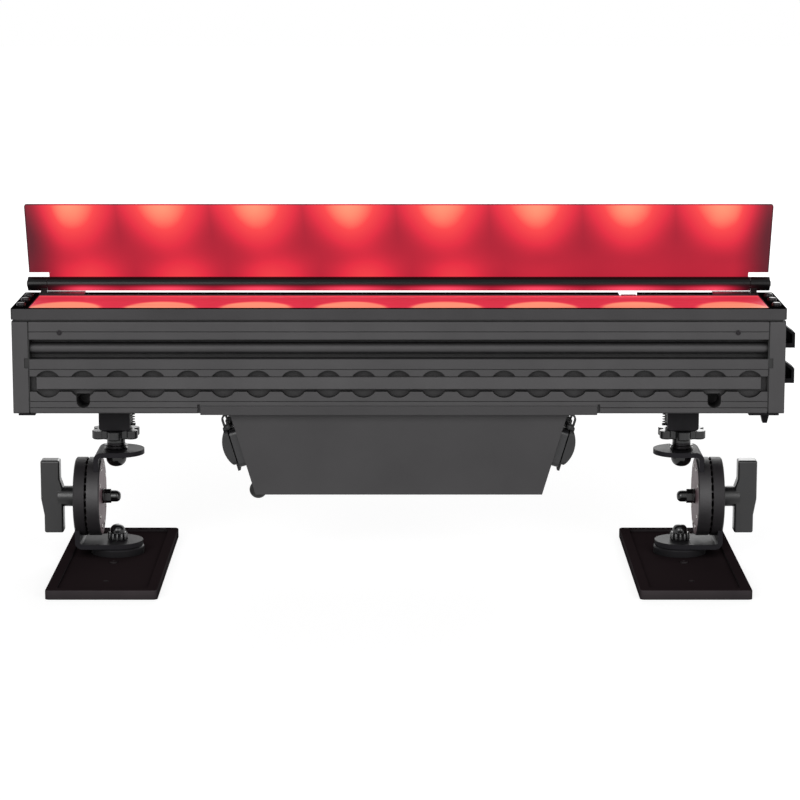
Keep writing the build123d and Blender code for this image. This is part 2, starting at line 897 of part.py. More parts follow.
def foot_block():
    half, deep = block_width / 2, block_depth / 2
    low, high = block_low(), housing_above_axis - slide_gap
    shape = block((-half, half), (-deep, deep), (low, high))
    shape = fillet(shape.edges().filter_by(Axis.Y).group_by(Axis.Z)[0], block_corner)
    reach = half + 2 * (spring_radius + spring_wire_radius) + 2 * seat_fit
    shelf_low = low + block_corner
    shape += block(
        (-reach, 1 - half),
        (-spring_shelf_width / 2, spring_shelf_width / 2),
        (shelf_low, shelf_low + spring_shelf_height),
    )
    return on_foot(shape - rod(clamp_bolt_radius + seat_fit, low - 1, high + 1, "z", (0, 0)))


def quarter_turn(start, end, start_way, end_way):
    """Two tangent arcs from start to end, leaving and arriving along the given ways."""
    span, both_ways = end - start, start_way + end_way
    a = 4 - both_ways.dot(both_ways)
    b = 2 * span.dot(both_ways)
    c = -span.dot(span)
    reach = (-b + sqrt(b * b - 4 * a * c)) / (2 * a)
    joint = (start + start_way * reach + end - end_way * reach) / 2
    first = TangentArc(start, joint, tangent=start_way)
    second = TangentArc(joint, end, tangent=first % 1)
    return [first, second]


def spring_gap(path):
    """Least gap between the coil's turns, measured on points along its middle line."""
    per_turn = 48
    points = [path.position_at(i / (per_turn * spring_turns)) for i in range(per_turn * spring_turns + 1)]
    pairs = [(a, b) for a in range(len(points)) for b in range(a + per_turn * 3 // 4, len(points))]
    return min((points[a] - points[b]).length for a, b in pairs) - 2 * spring_wire_radius


def block_spring():
    """Open coil spring that stands on the block's shelf."""
    low = block_low() + block_corner + spring_shelf_height + spring_wire_radius + seat_fit
    centre = -block_width / 2 - spring_radius - spring_wire_radius - seat_fit
    steps = [i * pi / 2 for i in range(4 * spring_turns + 1)]
    rise = spring_pitch / (2 * pi)
    places = [Vector(centre + spring_radius * cos(t), spring_radius * sin(t), low + rise * t) for t in steps]
    ways = [Vector(-spring_radius * sin(t), spring_radius * cos(t), rise).normalized() for t in steps]
    edges = []
    for i in range(len(steps) - 1):
        edges += quarter_turn(places[i], places[i + 1], ways[i], ways[i + 1])
    path = Wire(edges)
    section = Plane(origin=places[0], z_dir=ways[0]) * Circle(spring_wire_radius)
    print("least spring gap", round(spring_gap(path), 3))
    return on_foot(sweep(section, path=path))


def clamp_bolt():
    """Bolt whose long head sits in the housing's track, with a collar above the bracket's tab."""
    head_low = housing_above_axis + track_lip + slide_gap
    head_half = clamp_head_length / 2
    wide = track_cavity / 2 - slide_gap
    shape = block((-head_half, head_half), (-wide, wide), (head_low, head_low + clamp_head_height))
    low = upper_tab_top - bracket_thick - dome_height / 2
    shape += rod(clamp_bolt_radius, low, head_low + 1, "z", (0, 0))
    collar_low = upper_tab_top + part_gap
    shape += rod(collar_radius, collar_low, collar_low + collar_height / 3, "z", (0, 0))
    shape += rod(collar_radius - 1, collar_low, collar_low + collar_height, "z", (0, 0))
    return on_foot(shape)


def dome_nut():
    high = upper_tab_top - bracket_thick - part_gap
    flange = rod(dome_radius, high - dome_flange, high, "z", (0, 0))
    depth = dome_height - dome_flange
    round_radius = dome_radius - dome_step
    dome = rod(round_radius, high - dome_height, high - dome_flange + 0.1, "z", (0, 0))
    dome = fillet(dome.edges().group_by(Axis.Z)[0], min(round_radius, depth) * 0.85)
    bore = rod(clamp_bolt_radius + seat_fit, high - dome_height / 2 - 1, high + 1, "z", (0, 0))
    return on_foot(flange + dome - bore)


def knob_low():
    return upper_tab_top + part_gap + collar_height + part_gap


def star_knob():
    """Lobed grip with rounded valleys between its lobes, on a round hub."""
    low = knob_low() + knob_hub_height
    ring_radius = knob_radius - knob_lobe_radius
    outline = Circle(ring_radius)
    for i in range(knob_lobes):
        outline += PolarLocations(ring_radius, 1, 360 * (i + 0.5) / knob_lobes) * Circle(knob_lobe_radius)
    outline = fillet(outline.vertices(), knob_lobe_radius / 3)
    shape = Pos(0, 0, low) * extrude(outline, amount=knob_thick)
    shape = chamfer(shape.faces().sort_by(Axis.Z)[0].edges(), knob_thick / 8)
    shape += rod(knob_hub_radius, knob_low(), block_low() - part_gap, "z", (0, 0))
    return on_foot(shape - rod(clamp_bolt_radius + running_fit, 0, housing_above_axis, "z", (0, 0)))


def bent_bracket(leg_face, tab_near, up, half, overhang=0.0):
    """A flat leg with a round end on the tilt axis, bent into a round tab on the foot's axis.

    leg_face is the leg's inner face, tab_near the tab's inner face, up is +1 for a tab above the axis, and
    overhang carries the tab's round end past the foot's axis.
    """
    outer = leg_face + bracket_thick
    near, far = up * tab_near, up * (tab_near + bracket_thick)
    end = -half - overhang
    outline = Polyline(
        (end, near), (leg_face, near), (leg_face, -up * half), (outer, -up * half), (outer, far), (end, far),
        close=True,
    )
    outline = make_face(outline)
    for corner, radius in (((leg_face, near), bracket_bend - bracket_thick), ((outer, far), bracket_bend)):
        outline = fillet(outline.vertices().sort_by_distance(corner)[0], radius)
    strip = Pos(0, -half, 0) * extrude(Plane.XZ * outline, amount=-2 * half)
    reach = 2 * rosette_radius
    tab = rod(half, -reach, reach, "z", (-overhang, 0))
    tab += block((-overhang, reach), (-half, half), (-reach, reach))
    leg = rod(half, -reach, reach, "x", (0, 0)) + block((-reach, reach), (-half, half), (0, up * reach))
    return (strip & tab & leg) - rod(tilt_bolt_radius + part_gap, 0, outer + 1, "x", (0, 0))


def upper_bracket():
    tab_near = upper_tab_top - bracket_thick
    shape = bent_bracket(upper_leg_face, tab_near, 1, bracket_half_width, upper_tab_overhang)
    hole = rod(clamp_bolt_radius + running_fit, tab_near - bracket_thick, upper_tab_top + 1, "z", (0, 0))
    return on_foot(shape - hole)


def leg_space(leg_face, up):
    """The pocket that a bracket's leg fills in its rosette."""
    half = bracket_half_width + seat_fit
    low, high = leg_face - seat_fit, leg_face + bracket_thick + seat_fit
    far = up * (rosette_radius + 1)
    return rod(half, low, high, "x", (0, 0)) + block((low, high), (-half, half), (0, far))


def rosette_teeth(face, way):
    """Radial ridges on a rosette's face; way is the side of the face that they stand on."""
    tooth = Polyline(
        (face - way * 0.2, -tooth_width / 2),
        (face + way * tooth_height, 0),
        (face - way * 0.2, tooth_width / 2),
        close=True,
    )
    ridge = extrude(Plane.XY * make_face(tooth), amount=tooth_length)
    ridge = Pos(0, 0, rosette_radius - tooth_length - 0.5) * ridge
    return [Rot(360 * i / teeth_count, 0, 0) * ridge for i in range(teeth_count)]


def rosette_seam_cut():
    return block(
        (0, rosette_outer_face + 1),
        (-rosette_radius - 1, rosette_seam - rosette_radius),
        (-rosette_seam_drop - rosette_seam, -rosette_seam_drop),
    )


def rosette_half(low, high, face, way, leg_face, up):
    disc = rod(rosette_radius, low, high, "x", (0, 0))
    outside = disc.faces().sort_by(Axis.X)[0 if way > 0 else -1].edges()
    disc = chamfer(outside, rosette_seam)
    disc = disc + rosette_teeth(face, way)
    disc = disc - leg_space(leg_face, up) - rosette_seam_cut()
    return on_foot(disc - rod(tilt_bolt_radius + running_fit, 0, rosette_outer_face + 1, "x", (0, 0)))


def rosette_inner():
    face = rosette_split - rosette_gap - tooth_height
    return rosette_half(rosette_inner_face, face, face, 1, upper_leg_face, 1)


def lower_leg_face():
    return rosette_outer_face - bracket_thick


def rosette_outer():
    face = rosette_split + rosette_gap + tooth_height
    return rosette_half(face, rosette_outer_face, face, -1, lower_leg_face(), -1)


def lower_bracket():
    shape = bent_bracket(lower_leg_face(), lower_tab_top, -1, bracket_half_width - part_gap)
    hole_low = -lower_tab_top - 2 * bracket_thick
    hole = rod(base_bolt_radius + running_fit, hole_low, 1 - lower_tab_top, "z", (0, 0))
    return on_foot(shape - hole)


def cap_nut(flats, hex_height, height, bore):
    """Acorn nut standing on z = 0 with its dome up."""
    nut = extrude(RegularPolygon(flats / 2, 6, major_radius=False), amount=hex_height)
    dome = Pos(0, 0, (hex_height + height) / 2) * Cylinder(flats / 2 - 0.3, height - hex_height)
    dome = fillet(dome.edges().group_by(Axis.Z)[-1], min(flats / 2 - 0.3, height - hex_height) * 0.8)
    return nut + dome - Pos(0, 0, hex_height / 2) * Cylinder(bore, hex_height + 2)


def tilt_nut():
    nut = cap_nut(tilt_nut_flats, tilt_nut_hex, tilt_nut_length, tilt_bolt_radius + running_fit)
    washer = rod(tilt_nut_flats * 0.6, 0, tilt_washer_thick, "z", (0, 0))
    washer -= rod(tilt_bolt_radius + running_fit, -1, 2 * tilt_washer_thick, "z", (0, 0))
    nut = washer + Pos(0, 0, tilt_washer_thick) * nut
    return on_foot(Pos(rosette_inner_face, 0, 0) * Rot(0, -90, 0) * nut)


def tilt_bolt():
    """Stud moulded into the handle, reaching through both rosettes into the cap nut."""
    inner = rosette_inner_face - tilt_nut_hex
    return on_foot(rod(tilt_bolt_radius, inner, rosette_outer_face + handle_stem_length, "x", (0, 0)))


def tilt_handle():
    """Wing handle: two blocks set a little off each other, on a round stem."""
    stem_low = rosette_outer_face + handle_gap
    stem_high = rosette_outer_face + handle_stem_length
    top, bottom = handle_rise + handle_half_length, handle_rise - handle_half_length
    low_side, high_side = stem_high - handle_offset / 2, stem_high + handle_offset / 2
    outline = Polyline(
        (high_side, top),
        (high_side + handle_thick, top),
        (high_side + handle_thick, handle_outer_step[1]),
        (low_side + handle_thick, handle_outer_step[0]),
        (low_side + handle_thick, bottom),
        (low_side, bottom),
        (low_side, handle_inner_step[0]),
        (high_side, handle_inner_step[1]),
        close=True,
    )
    wing = Pos(0, -handle_width / 2, 0) * extrude(Plane.XZ * make_face(outline), amount=-handle_width)
    wing = fillet(wing.edges(), handle_corner)
    stem = rod(handle_stem_radius, stem_low, high_side + handle_corner, "x", (0, 0))
    return on_foot(wing + stem - rod(tilt_bolt_radius + seat_fit, 0, stem_high, "x", (0, 0)))


def tray_floor():
    return plate_thick - tray_depth - axis_above_floor


def base_disc():
    high = -lower_tab_top - bracket_thick - base_gap
    disc = rod(base_disc_radius, tray_floor(), high, "z", (0, 0))
    disc = fillet(disc.edges().group_by(Axis.Z)[-1], 1.2)
    return on_foot(disc - rod(base_bolt_radius + seat_fit, tray_floor() - 1, high + 1, "z", (0, 0)))


def base_plate():
    """Shallow tray that stands on the floor, with a screw and a fixing hole in front of the foot."""
    low = -axis_above_floor
    length = plate_front + plate_rear
    middle = (plate_rear - plate_front) / 2
    outline = Pos(0, middle) * RectangleRounded(plate_width, length, plate_corner)
    plate = Pos(0, 0, low) * extrude(outline, amount=plate_thick)
    plate = fillet(plate.edges().group_by(Axis.Z)[-1], 0.8)
    tray = Pos(0, middle) * RectangleRounded(plate_width - 2 * tray_rim, length - 2 * tray_rim, plate_corner)
    plate -= Pos(0, 0, tray_floor()) * extrude(tray, amount=plate_thick)
    plate -= rod(base_bolt_radius + seat_fit, low - 1, 0, "z", (0, 0))
    plate -= rod(bolt_head_radius + seat_fit, low - 1, low + bolt_head_height, "z", (0, 0))
    plate -= rod(fixing_hole_radius, low - 1, 0, "z", (0, -fixing_hole_front))
    at = (0, -plate_screw_front)
    screw = rod(plate_screw_radius, tray_floor() - 0.1, tray_floor() + plate_screw_height, "z", at)
    screw -= rod(plate_screw_radius / 2, tray_floor() + plate_screw_height / 2, 0, "z", at)
    return on_foot(plate + screw)


def base_bolt():
    """Bolt from under the plate, its flat head sunk in the plate's underside."""
    low = -axis_above_floor
    shape = rod(bolt_head_radius, low + part_gap, low + bolt_head_height, "z", (0, 0))
    return on_foot(shape + rod(base_bolt_radius, low + 1, base_nut_hex - lower_tab_top, "z", (0, 0)))


def base_nut():
    nut = cap_nut(base_nut_flats, base_nut_hex, base_nut_height - base_gap, base_bolt_radius + seat_fit)
    return on_foot(Pos(0, 0, base_gap - lower_tab_top) * nut)


housing_makers = [
    body_extrusion, front_rail, link_hooks, end_plates, link_latch, frame_gasket, window_frame, screws,
    cover_glass, diffuser_sheet, led_board, led_chips, pixel_lenses, hinge_brackets, shield_tube,
    glare_shield, driver_box, power_supply, control_board, vent_plug, sockets,
]
foot_makers = [
    foot_block, block_spring, clamp_bolt, dome_nut, star_knob, upper_bracket, rosette_inner, tilt_nut,
    rosette_outer, lower_bracket, tilt_bolt, tilt_handle, base_disc, base_plate, base_bolt, base_nut,
]


def all_parts():
    parts = {maker.__name__: in_housing(maker()) for maker in housing_makers}
    cap = end_cap()
    parts["end_cap_right"] = in_housing(cap)
    parts["end_cap_left"] = in_housing(mirror(cap, about=Plane.YZ))
    parts["end_gaskets"] = in_housing(group(both_ends(end_gasket())))
    for use, back in zip(("data", "power"), socket_backs()):
        lid = socket_lid(back)
        parts[use + "_lid_right"] = in_housing(lid)
        parts[use + "_lid_left"] = in_housing(mirror(lid, about=Plane.YZ))
    for maker in foot_makers:
        shape = maker()
        parts[maker.__name__ + "_right"] = shape
        parts[maker.__name__ + "_left"] = mirror(shape, about=Plane.YZ)
    return parts


parts = all_parts()
boxes = [shape.bounding_box() for shape in parts.values()]
lows = [min(tuple(box.min)[i] for box in boxes) for i in range(3)]
highs = [max(tuple(box.max)[i] for box in boxes) for i in range(3)]
# The origin is on the floor, under the middle of the whole object.
shift = Vector(-(lows[0] + highs[0]) / 2, -(lows[1] + highs[1]) / 2, -lows[2])

os.makedirs("parts", exist_ok=True)
for name, shape in parts.items():
    export_step(Pos(*shift) * shape, f"parts/{name}.step")
print("nodes", len(parts), "size", [round(high - low, 3) for low, high in zip(lows, highs)])


def report(name, place):
    """Prints a place in the exported frame, in millimetres."""
    print(name, [round(v, 4) for v in place + shift])


def housing_place(x, y, z):
    return Vector(x, y - foot_back, z + housing_bottom)


def foot_spot(x, y, z):
    return Vector(foot_place + x, y, axis_above_floor + z)


report("shield hinge", housing_place(0, hinge_back, hinge_height))
report("filter", housing_place(0, foot_back, glass_top))
report("latch", housing_place(latch_place, latch_back, -end_plate_thick))
for use, back in zip(("data", "power"), socket_backs()):
    x_pin, z_pin = lid_axis()
    report(use + " lid right", (in_housing(on_side(Pos(x_pin, back, z_pin)))).position)
    report(use + " bore right", (in_housing(on_side(Pos(socket_flange, back, socket_middle())))).position)
report("foot axis right", foot_spot(0, 0, 0))
report("rosette split right", foot_spot(rosette_split, 0, 0))
report("rigging hole right", housing_place(rigging_place, rigging_slot_depth, rigging_hole_height))
report("fixing hole right", foot_spot(0, -fixing_hole_front, -axis_above_floor))
report("plate middle right", foot_spot(0, (plate_rear - plate_front) / 2, -axis_above_floor))
print("socket way", [round(v, 5) for v in (cos(wall_lean), 0, -sin(wall_lean))])
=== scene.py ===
"""Looks of the led pixel bar: finishes, lit window, small hardware, studio and camera."""

import json
import math

import bmesh
import bpy
from mathutils import Matrix, Vector


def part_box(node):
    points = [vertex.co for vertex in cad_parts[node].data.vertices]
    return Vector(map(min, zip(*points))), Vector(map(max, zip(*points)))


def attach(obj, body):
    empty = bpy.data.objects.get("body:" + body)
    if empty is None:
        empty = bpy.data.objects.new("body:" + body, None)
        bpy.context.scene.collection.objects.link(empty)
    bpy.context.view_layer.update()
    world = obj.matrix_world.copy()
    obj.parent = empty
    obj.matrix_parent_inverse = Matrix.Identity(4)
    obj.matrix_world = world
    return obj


bl_info = {
    "name": "Led Pixel Bar",
    "version": (1, 0, 0),
    "blender": (4, 5, 0),
    "location": "3D View > Sidebar > Pixel Bar",
    "description": "Finishes and small hardware for an outdoor light bar with two tilting feet",
    "category": "Object",
}

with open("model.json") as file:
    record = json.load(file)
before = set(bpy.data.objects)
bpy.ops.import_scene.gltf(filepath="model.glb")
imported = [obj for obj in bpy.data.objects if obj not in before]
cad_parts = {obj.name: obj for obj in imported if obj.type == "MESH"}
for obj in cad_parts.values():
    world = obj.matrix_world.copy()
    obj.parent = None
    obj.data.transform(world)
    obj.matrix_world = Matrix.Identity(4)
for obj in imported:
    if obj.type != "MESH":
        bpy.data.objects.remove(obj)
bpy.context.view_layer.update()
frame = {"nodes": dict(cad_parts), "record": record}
NODES = frame["nodes"]
JOINTS = {joint["name"]: joint for joint in frame["record"]["behaviour"]["joints"]}
MM = 0.001
SIDES = ("left", "right")

# Light on the window and the shield
PIXELS = 8
DOME_HALF = 25 * MM
DOME_DEPTH = 32 * MM
GLOW_HALF = 30 * MM
BAND_WIDTH = 5 * MM
TAB_DEPTH = 4.4 * MM
CONE_FOOT = 11 * MM
CONE_TOP = 25 * MM
CONE_LEAN = (2 * MM, -2.5 * MM)
POOL_HALF = 19 * MM
POOL_SHIFT = 9 * MM
POOL_FADE = (110 * MM, 15 * MM)
SHIELD_FADE = 26 * MM
TUBE_FADE = 14 * MM
BORDER = 1.2 * MM

# Painted shade in recesses of the powder coat: how far a recess is felt, and the shade tone at its deepest
# part
RECESS_REACH = 9 * MM
RECESS_SHADE_TONE = "#0c0c0c"

# The sockets sit on walls that lean inwards; their bores are counted from the lids' pins.
WALL_LEAN = 16.64
SOCKET_DROP = 14.75 * MM
SOCKET_DEPTH = 12.15 * MM
INSERT_OUTLINE = [
    (0, 0), (0, 6.9 * MM), (1.2 * MM, 6.9 * MM), (1.2 * MM, 5.6 * MM), (3.0 * MM, 5.2 * MM), (3.0 * MM, 0),
]
CONTACT_COUNT = 5
CONTACT_CIRCLE = 3.2 * MM
CONTACT_OUTLINE = [
    (2.5 * MM, 0), (2.5 * MM, 0.8 * MM), (7.4 * MM, 0.8 * MM), (8.0 * MM, 0.4 * MM), (8.0 * MM, 0),
]
HINGE_HEAD_RADIUS = 2.4 * MM

# Small hardware of the feet
ROSETTE_SCREW_TURNS = (-60, -20, 20, 60, 120, 160, 200, 240)
SKIRT_RIBS = 12
RIB_STAND_OFF = 0.5 * MM
RIB_OUTLINE = [(0, 0), (0, 0.9 * MM), (4.2 * MM, 0.9 * MM), (4.8 * MM, 0.5 * MM), (4.8 * MM, 0)]
WASHER_HEIGHTS = (0.8 * MM, 2.6 * MM)
WASHER_OUTLINE = [
    (-0.35 * MM, 0), (-0.35 * MM, 7.3 * MM), (0, 7.6 * MM), (0.35 * MM, 7.3 * MM), (0.35 * MM, 0),
]

# Stage: each soft box has a place in metres and a power in watts
SOFT_BOX_SIZE = 1.4
SOFT_BOXES = {"key": ((-0.9, -2.2, 0.95), 30), "fill": ((1.2, -2.0, 0.8), 21), "back": ((0.3, 2.2, 1.0), 16)}
CAMERA_PLACE = (-2.7 * MM, -1832.4 * MM, 442.9 * MM)
FLOOR_REACH = 6.0
FLOOR_DROP = 0.2 * MM
FLOOR_SEEN = (0.82, 1.0)
FLOOR_WHITENS = (0.35, 1.2)
ROOM_LIGHT = 0.1


def node_span(name, axis):
    """The lowest and highest place of a CAD node along one axis."""
    low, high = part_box(name)
    return low[axis], high[axis]


CHIP_LOW, CHIP_HIGH = node_span("led_chips", 0)
CHIP_SIZE = node_span("led_chips", 1)[1] - node_span("led_chips", 1)[0]
BAR_MIDDLE = (CHIP_LOW + CHIP_HIGH) / 2
PIXEL_PITCH = (CHIP_HIGH - CHIP_LOW - CHIP_SIZE) / (PIXELS - 1)


class BarSettings(bpy.types.PropertyGroup):
    """Sizes and colours that a user would change."""

    housing_colour: bpy.props.StringProperty(
        name="Housing", description="sRGB hex of the powder-coated housing", default="#4c4b4c"
    )
    shield_colour: bpy.props.StringProperty(
        name="Shield", description="sRGB hex of the glare shield's coating", default="#1c191b"
    )
    light_colour: bpy.props.StringProperty(
        name="Light", description="sRGB hex of the light on the window", default="#de2a44"
    )
    hot_colour: bpy.props.StringProperty(
        name="Hot spots", description="sRGB hex of the light over each pixel", default="#ff9c78"
    )
    light_strength: bpy.props.FloatProperty(
        name="Light strength", description="How bright the lit window is", default=1.0, min=0.0, max=5.0
    )
    pin_radius: bpy.props.FloatProperty(
        name="Rosette screw", description="Radius of the small screws in a rosette", default=1.3 * MM,
        min=0.5 * MM, max=3 * MM, unit="LENGTH",
    )
    pin_circle: bpy.props.FloatProperty(
        name="Rosette screw circle", description="Distance of those screws from the tilt axis",
        default=20.5 * MM, min=10 * MM, max=24 * MM, unit="LENGTH",
    )
    camera_lens: bpy.props.FloatProperty(
        name="Lens", description="Focal length of the camera, in millimetres", default=128.7, min=20, max=300
    )
    camera_pitch: bpy.props.FloatProperty(
        name="Pitch", description="How far the camera looks down", default=math.radians(10.26),
        min=0, max=math.radians(60), unit="ROTATION",
    )


def hex_linear(text):
    """sRGB hex to the linear colour that shaders take."""
    values = [int(text[i : i + 2], 16) / 255 for i in (1, 3, 5)]
    return tuple(v / 12.92 if v <= 0.04045 else ((v + 0.055) / 1.055) ** 2.4 for v in values) + (1.0,)


def add_node(tree, kind, settings=None, links=None):
    """Adds a node; settings are its properties and unlinked inputs, links its linked inputs."""
    node = tree.nodes.new(kind)
    for key, value in (settings or {}).items():
        if isinstance(key, str) and hasattr(node, key):
            setattr(node, key, value)
        else:
            node.inputs[key].default_value = value
    for key, socket in (links or {}).items():
        tree.links.new(socket, node.inputs[key])
    return node


def new_material(name):
    """An empty material with its shader and output, ready for its nodes."""
    material = bpy.data.materials.new(name)
    material.use_nodes = True
    tree = material.node_tree
    tree.nodes.clear()
    shader = add_node(tree, "ShaderNodeBsdfPrincipled")
    add_node(tree, "ShaderNodeOutputMaterial", links={"Surface": shader.outputs["BSDF"]})
    return material, tree, shader


def places(tree):
    return add_node(tree, "ShaderNodeTexCoord").outputs["Object"]


def maths(tree, operation, *values):
    """A Math node; each value is a number or a socket."""
    node = tree.nodes.new("ShaderNodeMath")
    node.operation = operation
    for i, value in enumerate(values):
        if isinstance(value, (int, float)):
            node.inputs[i].default_value = value
        else:
            tree.links.new(value, node.inputs[i])
    return node.outputs[0]


def noise(tree, size, detail=3.0, stretch=(1, 1, 1)):
    """Noise whose patches are about size metres across."""
    scaled = add_node(
        tree, "ShaderNodeMapping", {"Scale": tuple(s / size for s in stretch)}, {"Vector": places(tree)}
    )
    return add_node(
        tree, "ShaderNodeTexNoise", {"Scale": 1.0, "Detail": detail}, {"Vector": scaled.outputs[0]}
    ).outputs[0]


def colour_ramp(tree, factor, stops):
    """Blends hex colours by a factor; stops are (place, hex)."""
    ramp = add_node(tree, "ShaderNodeValToRGB", links={0: factor}).color_ramp
    while len(ramp.elements) < len(stops):
        ramp.elements.new(0.5)
    for element, (place, text) in zip(ramp.elements, stops):
        element.position = place
        element.color = hex_linear(text)
    return tree.nodes[-1].outputs[0]


def value_ramp(tree, factor, low, high):
    """Maps 0..1 to low..high."""
    return add_node(
        tree, "ShaderNodeMapRange", {"To Min": low, "To Max": high}, {"Value": factor}
    ).outputs[0]


def set_bump(tree, shader, height, depth, rounding=0.0):
    """Bump of a real depth in metres, over edges that are rounded for shading."""
    settings = {"Strength": 1.0, "Distance": depth}
    links = {"Height": height}
    if rounding:
        links["Normal"] = add_node(tree, "ShaderNodeBevel", {"samples": 4, "Radius": rounding}).outputs[0]
    bump = add_node(tree, "ShaderNodeBump", settings, links)
    tree.links.new(bump.outputs[0], shader.inputs["Normal"])


def shade(hex_text, factor):
    """The hex colour made lighter or darker by a factor."""
    values = [min(255, round(int(hex_text[i : i + 2], 16) * factor)) for i in (1, 3, 5)]
    return "#" + "".join(f"{v:02x}" for v in values)


def upward(tree):
    """1 on faces that look up, 0 on the others."""
    normal = add_node(tree, "ShaderNodeNewGeometry").outputs["Normal"]
    facing = add_node(tree, "ShaderNodeSeparateXYZ", links={0: normal}).outputs[2]
    return between(tree, facing, 0.72, 0.95)


def mix_colours(tree, factor, first, second, kind="MIX"):
    """Mixes two colour sockets or hex colours by a factor."""
    node = add_node(tree, "ShaderNodeMix", {"data_type": "RGBA", "blend_type": kind}, {0: factor})
    for place, colour in ((6, first), (7, second)):
        if isinstance(colour, str):
            node.inputs[place].default_value = hex_linear(colour)
        else:
            tree.links.new(colour, node.inputs[place])
    return node.outputs[2]


def recessed(tree, reach):
    """1 deep in a recess and 0 in the open, by how much a point sees within that reach."""
    seen = add_node(tree, "ShaderNodeAmbientOcclusion", {"samples": 6, "Distance": reach}).outputs["AO"]
    return between(tree, seen, 0.9, 0.3)


def coated_metal(
    name, colour, roughness, grain=0.35 * MM, depth=0.02 * MM, variation=0.05, gloss=0.2, top=None, recess=0.0
):
    """Powder-coated metal: a thin matt skin with a fine orange-peel grain and faint handling marks. Top, if
    given, is a painted shade colour for faces that look up; recess is how strongly recesses get painted
    shade.
    """
    material, tree, shader = new_material(name)
    patches = noise(tree, 45 * MM)
    shader.inputs["IOR"].default_value = 1.5
    shader.inputs["Specular IOR Level"].default_value = gloss
    darker, lighter = shade(colour, 1 - variation), shade(colour, 1 + variation)
    tone = colour_ramp(tree, patches, [(0.3, darker), (0.7, lighter)])
    # Painted shade: faces that look up take the darker top colour.
    if top:
        tone = mix_colours(tree, upward(tree), tone, top)
    # Painted shade: the deeper the recess, the more the tone darkens towards the recess shade tone.
    if recess:
        dark = maths(tree, "MULTIPLY", recessed(tree, RECESS_REACH), recess)
        tone = mix_colours(tree, dark, tone, RECESS_SHADE_TONE)
    tree.links.new(tone, shader.inputs["Base Color"])
    tree.links.new(
        value_ramp(tree, noise(tree, 12 * MM), roughness - 0.06, roughness + 0.06), shader.inputs["Roughness"]
    )
    set_bump(tree, shader, noise(tree, grain, 2.0), depth, 0.3 * MM)
    return material


def moulded_plastic(name, colour, roughness, depth=0.01 * MM, rounding=0.4 * MM):
    """Injection-moulded plastic: even colour with faint flow marks and a slightly uneven gloss."""
    material, tree, shader = new_material(name)
    shader.inputs["IOR"].default_value = 1.49
    flow = noise(tree, 18 * MM, 2.0, (1, 1, 0.4))
    tone = colour_ramp(tree, flow, [(0.3, shade(colour, 0.92)), (0.7, shade(colour, 1.08))])
    tree.links.new(tone, shader.inputs["Base Color"])
    sheen = value_ramp(tree, noise(tree, 5 * MM), roughness * 0.8, roughness * 1.2)
    tree.links.new(sheen, shader.inputs["Roughness"])
    set_bump(tree, shader, noise(tree, 0.8 * MM), depth, rounding)
    return material


def plain_steel(name, colour, roughness, stretch=(1, 1, 1)):
    """Turned stainless steel: metallic, with fine tool marks."""
    material, tree, shader = new_material(name)
    shader.inputs["Metallic"].default_value = 1.0
    marks = noise(tree, 0.4 * MM, 2.0, stretch)
    tone = colour_ramp(tree, marks, [(0.3, shade(colour, 0.9)), (0.7, shade(colour, 1.06))])
    tree.links.new(tone, shader.inputs["Base Color"])
    tree.links.new(value_ramp(tree, marks, roughness * 0.85, roughness * 1.2), shader.inputs["Roughness"])
    set_bump(tree, shader, marks, 0.005 * MM, 0.15 * MM)
    return material


def matt_rubber(name, colour):
    """Moulded silicone rubber: soft matt black with a dusty bloom."""
    material, tree, shader = new_material(name)
    shader.inputs["IOR"].default_value = 1.45
    bloom = noise(tree, 8 * MM)
    tone = colour_ramp(tree, bloom, [(0.35, colour), (0.75, shade(colour, 1.5))])
    tree.links.new(tone, shader.inputs["Base Color"])
    tree.links.new(value_ramp(tree, bloom, 0.55, 0.75), shader.inputs["Roughness"])
    set_bump(tree, shader, noise(tree, 0.5 * MM), 0.02 * MM, 0.3 * MM)
    return material


def clear_moulding(name, tint, roughness, index):
    """Clear glass or acrylic: transmits light, with faint smears that show in reflections."""
    material, tree, shader = new_material(name)
    shader.inputs["IOR"].default_value = index
    shader.inputs["Base Color"].default_value = hex_linear(tint)
    shader.inputs["Transmission Weight"].default_value = 1.0
    haze = value_ramp(tree, noise(tree, 30 * MM), roughness, roughness + 0.04)
    tree.links.new(haze, shader.inputs["Roughness"])
    return material


def from_pixel(tree, along, aside=0.0):
    """Distance along X from the nearest pixel's middle, or from a place beside each pixel."""
    start = maths(tree, "SUBTRACT", maths(tree, "SUBTRACT", along, aside), BAR_MIDDLE - PIXEL_PITCH)
    wrapped = maths(tree, "FLOORED_MODULO", start, PIXEL_PITCH)
    return maths(tree, "SUBTRACT", wrapped, PIXEL_PITCH / 2)


def pixel_distance(tree):
    """Sockets for the distance along X from the nearest pixel's middle, and for the object's X, Y and Z."""
    split = add_node(tree, "ShaderNodeSeparateXYZ", links={0: places(tree)}).outputs
    return from_pixel(tree, split[0]), split[0], split[1], split[2]


def between(tree, value, low, high, kind="SMOOTHSTEP"):
    """0 at low and 1 at high, limited to that range."""
    return add_node(
        tree, "ShaderNodeMapRange", {"interpolation_type": kind, "From Min": low, "From Max": high},
        {"Value": value},
    ).outputs[0]


def bell(tree, value, width):
    """A bell curve of a value, 1 in its middle; width is a number or a socket."""
    ratio = maths(tree, "DIVIDE", value, width)
    return maths(tree, "EXPONENT", maths(tree, "MULTIPLY", maths(tree, "MULTIPLY", ratio, ratio), -1.0))


